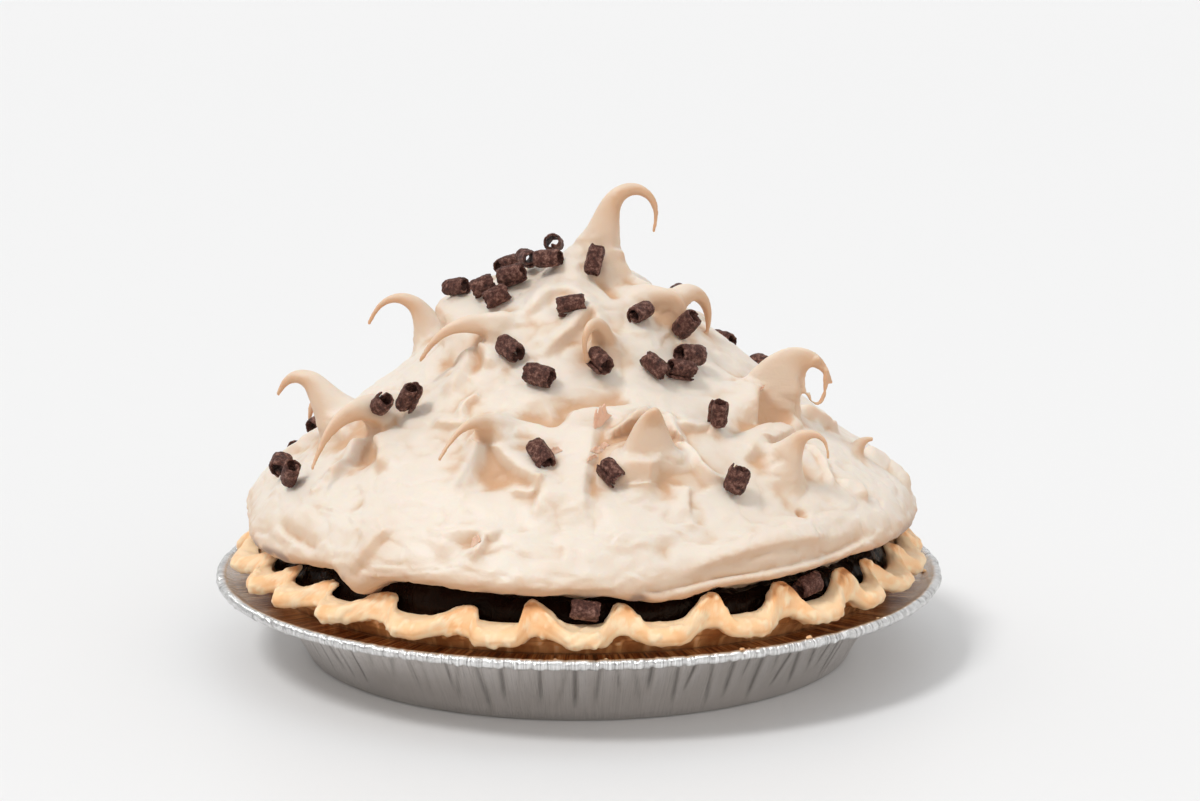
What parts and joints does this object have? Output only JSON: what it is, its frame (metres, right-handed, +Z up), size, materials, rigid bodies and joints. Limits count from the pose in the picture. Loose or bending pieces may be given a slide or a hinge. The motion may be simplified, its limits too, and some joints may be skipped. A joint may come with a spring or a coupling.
{
  "type": "chocolate meringue pie",
  "caption": "Whole chocolate cream pie in a fluted foil tin, with a crimped pastry rim, a tall meringue mound pulled up into curling peaks, and scattered chocolate curls.",
  "frame": {"origin": "on the table, at the middle of the tin's base", "axes": "+Z up, -Y towards the side the picture shows, +X to the right in it"},
  "size_m": [0.245, 0.245, 0.1589],
  "materials": {
    "foil": "bright pressed foil, finely creased",
    "baked_pastry": "golden baked pastry, flaky and browner on its edges",
    "chocolate_cream": "very dark, glossy set cream",
    "meringue": "soft satin, pale cream, faintly tanned in the hollows",
    "chocolate_curl": "rough dark chocolate"
  },
  "bodies": {
    "root": {"foil_tin": "foil", "pastry_case": "baked_pastry", "chocolate_filling": "chocolate_cream", "meringue": "meringue", "chocolate_curl_01": "chocolate_curl", "chocolate_curl_02": "chocolate_curl", "chocolate_curl_03": "chocolate_curl", "chocolate_curl_04": "chocolate_curl", "chocolate_curl_05": "chocolate_curl", "chocolate_curl_06": "chocolate_curl", "chocolate_curl_07": "chocolate_curl", "chocolate_curl_08": "chocolate_curl", "chocolate_curl_09": "chocolate_curl", "chocolate_curl_10": "chocolate_curl", "chocolate_curl_11": "chocolate_curl", "chocolate_curl_12": "chocolate_curl", "chocolate_curl_13": "chocolate_curl", "chocolate_curl_14": "chocolate_curl", "chocolate_curl_15": "chocolate_curl", "chocolate_curl_16": "chocolate_curl", "chocolate_curl_17": "chocolate_curl", "chocolate_curl_18": "chocolate_curl", "chocolate_curl_19": "chocolate_curl", "chocolate_curl_20": "chocolate_curl", "chocolate_curl_21": "chocolate_curl", "chocolate_curl_22": "chocolate_curl", "chocolate_curl_23": "chocolate_curl", "chocolate_curl_24": "chocolate_curl", "chocolate_curl_25": "chocolate_curl", "chocolate_curl_26": "chocolate_curl", "chocolate_curl_27": "chocolate_curl", "chocolate_curl_28": "chocolate_curl", "chocolate_curl_29": "chocolate_curl", "chocolate_curl_30": "chocolate_curl", "chocolate_curl_31": "chocolate_curl", "chocolate_curl_32": "chocolate_curl", "chocolate_curl_33": "chocolate_curl", "chocolate_curl_34": "chocolate_curl", "chocolate_curl_35": "chocolate_curl", "chocolate_curl_36": "chocolate_curl", "chocolate_curl_37": "chocolate_curl", "chocolate_curl_38": "chocolate_curl", "chocolate_curl_39": "chocolate_curl", "chocolate_curl_40": "chocolate_curl", "chocolate_curl_41": "chocolate_curl", "chocolate_curl_42": "chocolate_curl", "chocolate_curl_43": "chocolate_curl", "chocolate_curl_44": "chocolate_curl", "chocolate_curl_45": "chocolate_curl", "chocolate_curl_46": "chocolate_curl", "chocolate_curl_47": "chocolate_curl"}
  },
  "joints": []
}
